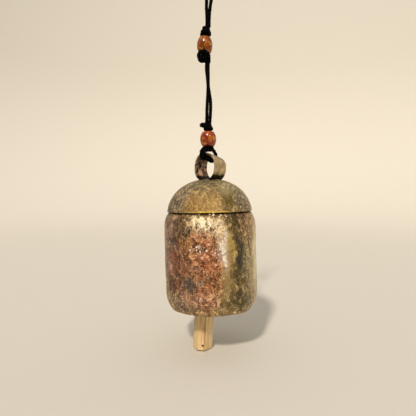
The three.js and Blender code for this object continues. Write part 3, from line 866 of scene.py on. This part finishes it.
# The crown hoop: a strip of iron bent to a ring, coated like the bell and brazed on its crown.
# Outside it is a matte khaki brass, and inside it is dark, with blotches of bare copper.
hoop_radius = 8
hoop_wall = 1
hoop_half = 5.75
hoop_middle = -5.6
hoop_stretch = 1.1
hoop_flare = 0.04
hoop_flare_angle = 35
hoop_lift = 0.05
hoop_lift_angle = 122
hoop_dents = 0.02
hoop_spread = 0.14
hoop_slope = 0.18
hoop_place = sling_place @ Matrix.Rotation(math.radians(bell_lean), 4, "Y")
hoop_place = hoop_place @ Matrix.Translation(Vector((0, 0, hoop_middle)) * MM)
lying = hoop_place @ Matrix.Rotation(math.radians(90), 4, "X")
strip = [
    (hoop_radius - hoop_wall, -hoop_half), (hoop_radius, -hoop_half), (hoop_radius, 0),
    (hoop_radius, hoop_half), (hoop_radius - hoop_wall, hoop_half), (hoop_radius - hoop_wall, 0),
]
hoop = turned_piece("crown_hoop_strip", strip, lying, steps=96)

# The ring as its maker left it: a little taller than wide, flared at two corners of its near edge,
# raised at its upper left, spread at its foot, dented all round, and with its top sloping to the back.
bent = bmesh.new()
bent.from_mesh(hoop.data)
bent.transform(hoop_place.inverted())
outward = bent.verts.layers.float.new("outward")
for vert in bent.verts:
    x, y, z = vert.co / MM
    vert[outward] = 1 if math.hypot(x, z) > hoop_radius - hoop_wall / 2 else 0
    bearing = math.degrees(math.atan2(z, x))
    near = 0.5 - y / (2 * hoop_half)
    corner = max(0, math.cos(math.radians(2 * (bearing - hoop_flare_angle)))) ** 2
    lifted = 0
    if z > 0:
        lifted = max(0, math.cos(math.radians(2.5 * (bearing - hoop_lift_angle)))) ** 2
    dent = noise.noise(Vector((x, y, z)) / 5)
    flare = 1 + hoop_flare * near * corner + hoop_lift * lifted + hoop_dents * dent
    widened = 1 + hoop_spread * max(0, -z / hoop_radius) ** 2
    height = max(0, z / hoop_radius) * min(1, max(0, 1 + x / 3))
    z = hoop_radius - (hoop_radius - z * flare) * hoop_stretch - hoop_slope * height * (y + hoop_half)
    vert.co = Vector((x * flare * widened, y, z)) * MM
bent.transform(hoop_place)
bent.to_mesh(hoop.data)
bent.free()
soften_edges(hoop, 0.3)

hoop_coat, tree, shader = start_material("khaki brass coat on iron, hoop")
place = add_node(tree, "TexCoord", give="Object")
local = add_node(
    tree, "Mapping",
    {"Vector": place, "Location": hoop_place.translation, "Rotation": hoop_place.to_euler()},
    vector_type="TEXTURE",
)
parts = add_node(tree, "SeparateXYZ", {"Vector": local}).node
outside = add_node(tree, "Attribute", give="Fac", attribute_name="outward")
cloud = add_node(tree, "TexNoise", {"Vector": local, "Scale": 1000 / 4, "Detail": 5.0, "Roughness": 0.6})
fine = add_node(tree, "TexNoise", {"Vector": local, "Scale": 1000 / 0.8, "Detail": 4.0})
khaki = add_node(
    tree, "ValToRGB", {"Fac": cloud}, stops=[(0.32, "#8f7b56"), (0.5, "#c0a87c"), (0.68, "#dcc8a2")],
)
blotch = add_node(
    tree, "TexNoise",
    {"Vector": local, "Scale": 1000 / 1.8, "Detail": 5.0, "Roughness": 0.65, "Distortion": 0.6},
)
burnt = add_node(
    tree, "ValToRGB", {"Fac": blotch},
    stops=[(0.36, "#1a1411"), (0.43, "#54412f"), (0.5, "#7f6852"), (0.58, "#ab8c70"), (0.66, "#d6b698")],
)
leftward = add_node(tree, "Math", {0: parts.outputs["X"], 1: -1.0}, operation="MULTIPLY")
turn = add_node(tree, "Math", {0: parts.outputs["Z"], 1: leftward}, operation="ARCTAN2")
around = add_node(tree, "Math", {0: turn, 1: hoop_radius * MM}, operation="MULTIPLY")
unrolled = add_node(tree, "CombineXYZ", {"X": around, "Y": parts.outputs["Y"]})
ragged = add_node(tree, "MapRange", {"Value": blotch, "To Min": -1.0, "To Max": 1.0})
for tint, centre, size in (
    ("#f6cca4", (-4.7, -1.6), (2.4, 2.0)), ("#e0a890", (-1.5, 4.0), (1.4, 1.1)),
    ("#0a0908", (0.4, -1.2), (1.1, 1.2)), ("#0a0908", (0.1, 4.4), (1.1, 1.0)),
    ("#0a0908", (-2.8, -4.3), (1.0, 1.0)), ("#0a0908", (-6.7, -5.0), (1.2, 1.0)),
):
    spot = stain(tree, unrolled, ragged, centre, size, 0.4)
    burnt = add_node(tree, "Mix", {"Factor": spot, "A": burnt, "B": linear(tint)}, data_type="RGBA")
# The foot's outside is darkened: burnt scale from the brazing, with painted shade where the hoop curves
# under onto the dome.
lowness = add_node(tree, "Math", {0: blotch, 1: -3 * MM, 2: 1.5 * MM}, operation="MULTIPLY_ADD")
lowness = add_node(tree, "Math", {0: lowness, 1: parts.outputs["Z"]}, operation="SUBTRACT")
foot_scale_and_shade = add_node(
    tree, "MapRange", {"Value": lowness, "From Min": 5.2 * MM, "From Max": 6.2 * MM},
)
colour = add_node(tree, "Mix", {"Factor": outside, "A": burnt, "B": khaki}, data_type="RGBA")
colour = add_node(
    tree, "Mix", {"Factor": foot_scale_and_shade, "A": colour, "B": linear("#15110e")}, data_type="RGBA",
)
tree.links.new(colour, shader.inputs["Base Color"])
shader.inputs["Metallic"].default_value = 0.85
rough = add_node(tree, "MapRange", {"Value": fine, "To Min": 0.45, "To Max": 0.75})
tree.links.new(rough, shader.inputs["Roughness"])
bump = add_node(tree, "Bump", {"Height": fine, "Strength": 0.8, "Distance": 0.25 * MM})
tree.links.new(bump, shader.inputs["Normal"])
finish_piece(hoop, hoop_coat, "bell", "brass_hoop", "crown_hoop")

# Under the dome: an iron wire staple brazed to the sheet, and the wire link that joins it to the clapper.
# The link is closed round both by hand, and its ends meet on one leg.
clearance = 0.3
eye_wire = 1.8
eye_depth = 9.6
eye_half = 4.6
link_wire = 1.4
link_half = 4.3
link_hole = -21.1


def wire_piece(name, points, diameter):
    """A length of bent wire along a smooth route under the dome."""
    tube = new_tube(name, diameter / 2, roundness=5)
    add_line(tube, smooth_route(points))
    return piece_from_tube(tube, front_place)


def inside_depth(radius):
    """How far below its top the dome's inside has a radius."""
    share = (radius / (dome_widest - sheet)) ** dome_fullness
    return sheet + (dome_oval - sheet) * (1 - (1 - share) ** (1 / dome_fullness))


def bight(angle):
    """A point on the staple's round bend."""
    turned_to = math.radians(angle)
    return (eye_half * math.cos(turned_to), 0, eye_half * (1 - math.sin(turned_to)) - eye_depth)


feet = [(x, 0, -inside_depth(x) - eye_wire / 2 - clearance) for x in (11.1, 7.85, 5.9)]
shoulder = (4.7, 0, (eye_half - eye_depth - inside_depth(eye_half)) / 2)
half = [*feet, shoulder, bight(5), bight(32), bight(60)]
mirrored = [(-x, y, z) for x, y, z in reversed(half)]
staple = wire_piece("clapper_staple", [*half, (0, 0, -eye_depth), *mirrored], eye_wire)

arch_top = -eye_depth + (eye_wire + link_wire) / 2 + clearance
arch_middle = arch_top - link_half
arch = [
    (0, -link_half * math.cos(math.radians(a)), arch_middle + link_half * math.sin(math.radians(a)))
    for a in range(0, 181, 30)
]
meeting = (arch_middle + link_hole) / 2
leg = [(link_half, 2.47), (link_half - 0.325, 0.845), (3.13, 0.06), (1.8, 0)]
link = wire_piece("clapper_link", [
    (0, link_half, meeting - 0.35),
    *((0, y, link_hole + up) for y, up in leg),
    *((0, -y, link_hole + up) for y, up in reversed(leg)),
    *arch,
    (0, link_half, meeting + 0.35),
], link_wire)

# Iron wire: grey black with scale from the fire, browner where it rusts.
fired_wire, tree, shader = start_material("fired iron wire", Metallic=0.7, Roughness=0.55)
place = add_node(tree, "TexCoord", give="Object")
scale_spots = add_node(tree, "TexNoise", {"Vector": place, "Scale": 1000 / 1.2, "Detail": 4.0})
colour = add_node(
    tree, "ValToRGB", {"Fac": scale_spots},
    stops=[(0.35, "#2a2624"), (0.55, "#57504a"), (0.7, "#6b4a35")],
)
tree.links.new(colour, shader.inputs["Base Color"])
bump = add_node(tree, "Bump", {"Height": scale_spots, "Strength": 0.5, "Distance": 0.1 * MM})
tree.links.new(bump, shader.inputs["Normal"])
finish_piece(staple, fired_wire, "bell", "iron_wire", "clapper_eye")
finish_piece(link, fired_wire, "link", "iron_wire", "wire_link")

# The clapper: a stick of pale wood whittled to six uneven sides, thinning to a flat tongue.
# It hangs on the link through one hole, and a small hole goes through near its tip.
clapper_length = 89
clapper_radius = 6.1
clapper_lean = 4.2
clapper_taper = 0.18
clapper_corners = (-90, -33, 13, 85, 140, 205)
clapper_cuts = 30
knife_depth = 0.025
tongue_length = 10
tongue_wall = 6
hole_depth = 4.2
hole_width = 2.2
tip_hole_width = 1.5
tip_hole_height = 3
clapper_place = (
    front_place
    @ Matrix.Translation(Vector((0, 0, link_hole)) * MM)
    @ Matrix.Rotation(math.radians(clapper_lean), 4, "Y")
)
stick = bmesh.new()
section = [
    stick.verts.new((clapper_radius * math.sin(a), -clapper_radius * math.cos(a), 0))
    for a in map(math.radians, clapper_corners)
]
tip = stick.faces.new(section)
grown = bmesh.ops.extrude_face_region(stick, geom=[tip])["geom"]
bmesh.ops.translate(
    stick, verts=[v for v in grown if isinstance(v, bmesh.types.BMVert)], vec=(0, 0, clapper_length),
)
bmesh.ops.recalc_face_normals(stick, faces=stick.faces)
bmesh.ops.bevel(
    stick, geom=stick.edges[:], offset=0.5, segments=2, profile=0.5, affect="EDGES", material=-1,
)
for i in range(1, clapper_cuts):
    cut = stick.verts[:] + stick.edges[:] + stick.faces[:]
    height = clapper_length * i / clapper_cuts
    bmesh.ops.bisect_plane(stick, geom=cut, dist=0.0001, plane_co=(0, 0, height), plane_no=(0, 0, 1))
for vert in stick.verts:
    share = vert.co.z / clapper_length
    eased = min(1, max(0, (share - 0.25) / 0.75))
    width = 1 - clapper_taper * eased * eased * (3 - 2 * eased)
    facet = math.atan2(vert.co.y, vert.co.x)
    knife = noise.noise(Vector((math.cos(facet), math.sin(facet), vert.co.z / 14)) * 1.7)
    width *= 1 + knife_depth * knife
    vert.co.x *= width
    vert.co.y *= width
    vert.co.z += hole_depth - clapper_length
stick.transform(Matrix.Scale(MM, 4))
clapper = piece_from_shape("clapper_stick", stick)


def carve(piece, shapes):
    """Cuts the shapes out of a piece, and keeps the result as its mesh."""
    holders = []
    for shape in shapes:
        holder = piece_from_shape("cutter", shape)
        cut = piece.modifiers.new("cut", "BOOLEAN")
        cut.object = holder
        cut.solver = "EXACT"
        holders.append(holder)
    bpy.context.view_layer.update()
    carved = bpy.data.meshes.new_from_object(piece.evaluated_get(bpy.context.evaluated_depsgraph_get()))
    piece.modifiers.clear()
    piece.data = carved
    for holder in holders:
        bpy.data.objects.remove(holder)


# Two blocks leave the flat tongue between them, and two drills make the holes.
cutter_length = 24
cutter_width = 12
cutter_over = 1
drill_length = 26
cutters = []
for side in (-1, 1):
    cheek = bmesh.new()
    bmesh.ops.create_cube(cheek, size=1)
    block = Vector((cutter_length, cutter_width, tongue_length + cutter_over))
    beside = side * (tongue_wall + cutter_width) / 2
    middle = Vector((0, beside, hole_depth - (tongue_length - cutter_over) / 2))
    bmesh.ops.scale(cheek, vec=block * MM, verts=cheek.verts)
    bmesh.ops.translate(cheek, vec=middle * MM, verts=cheek.verts)
    cutters.append(cheek)
crossways = Matrix.Rotation(math.radians(90), 3, "X")
tip_hole = hole_depth - clapper_length + tip_hole_height
for height, diameter in ((0, hole_width), (tip_hole, tip_hole_width)):
    drill = bmesh.new()
    bmesh.ops.create_cone(
        drill, cap_ends=True, segments=24, radius1=diameter / 2 * MM, radius2=diameter / 2 * MM,
        depth=drill_length * MM,
    )
    bmesh.ops.rotate(drill, cent=(0, 0, 0), matrix=crossways, verts=drill.verts)
    bmesh.ops.translate(drill, vec=Vector((0, 0, height)) * MM, verts=drill.verts)
    cutters.append(drill)
carve(clapper, cutters)
clapper.data.transform(clapper_place)

# Whittled lime wood: cream, with fine brown grain along the stick and one darker streak.
lime_wood, tree, shader = start_material("whittled lime wood", Roughness=0.62)
place = add_node(tree, "TexCoord", give="Object")
local = add_node(
    tree, "Mapping",
    {"Vector": place, "Location": clapper_place.translation, "Rotation": clapper_place.to_euler()},
    vector_type="TEXTURE",
)
drawn = add_node(tree, "Mapping", {"Vector": local, "Scale": (1, 1, 0.06)})
grain = add_node(tree, "TexNoise", {"Vector": drawn, "Scale": 1000 / 1.0, "Detail": 5.0, "Roughness": 0.6})
wood = add_node(
    tree, "ValToRGB", {"Fac": grain},
    stops=[(0.3, "#a87f4c"), (0.45, "#d6b37c"), (0.6, "#e6cb9a"), (0.8, "#efdcb6")],
)
parts = add_node(tree, "SeparateXYZ", {"Vector": drawn}).node
offset = add_node(tree, "Math", {0: parts.outputs["X"], 1: -0.9 * MM}, operation="ADD")
offset = add_node(tree, "Math", {0: offset}, operation="ABSOLUTE")
streak = add_node(
    tree, "MapRange", {"Value": offset, "From Min": 0.7 * MM, "From Max": 0.2 * MM, "To Max": 0.7},
)
wood = add_node(tree, "Mix", {"Factor": streak, "A": wood, "B": linear("#a17a45")}, data_type="RGBA")
tree.links.new(wood, shader.inputs["Base Color"])
bump = add_node(tree, "Bump", {"Height": grain, "Strength": 0.4, "Distance": 0.12 * MM})
tree.links.new(bump, shader.inputs["Normal"])
finish_piece(clapper, lime_wood, "clapper", "pale_wood", "clapper")

# The floor is a plain pale sheet that curves up on all sides, just under the clapper's tip.
# A soft distant light, high in front on the left, gives the shadow.
# A small strip low on the right gives the bell's bright streak.
floor_height = -240.9
floor_flat = 800
floor_curve = 600
floor_wall = 1040
profile = [(0, 0), (300, 0), (600, 0), (floor_flat, 0)]
for a in range(10, 91, 10):
    risen = math.radians(a)
    profile.append((floor_flat + floor_curve * math.sin(risen), floor_curve * (1 - math.cos(risen))))
profile.append((floor_flat + floor_curve, floor_wall))
floor_place = Matrix.Translation(Vector((0, 0, floor_height)) * MM)
floor = turned_piece("floor", profile, floor_place, closed=False)
pale_paper, tree, shader = start_material(
    "pale paper", Base_Color=linear("#e0dace"), Roughness=0.9,
)
floor.data.materials.append(pale_paper)

sun = bpy.data.lights.new("key", "SUN")
sun.energy = 2.2
sun.angle = math.radians(5)
sun.color = linear("#fff6ea")[:3]
key = add_object("key", sun)
toward_key = front @ Vector((-0.3, -0.95, 0.9))
key.rotation_euler = toward_key.to_track_quat("Z", "Y").to_euler()

strip = bpy.data.lights.new("streak", "AREA")
strip.shape = "RECTANGLE"
strip.size = 36 * MM
strip.size_y = 70 * MM
strip.spread = math.radians(50)
strip.energy = 0.012
streak_lamp = add_object("streak", strip)
streak_lamp.location = front @ Vector((183, -298, -200)) * MM
facing = streak_lamp.location - Vector((0, 0, -170)) * MM
streak_lamp.rotation_euler = facing.to_track_quat("Z", "Y").to_euler()
streak_lamp.visible_camera = False

world = bpy.data.worlds.new("studio")
world.use_nodes = True
world.node_tree.nodes["Background"].inputs["Color"].default_value = linear("#f4f2f0")
world.node_tree.nodes["Background"].inputs["Strength"].default_value = 0.55
bpy.context.scene.world = world
bpy.context.scene.view_settings.view_transform = "Standard"
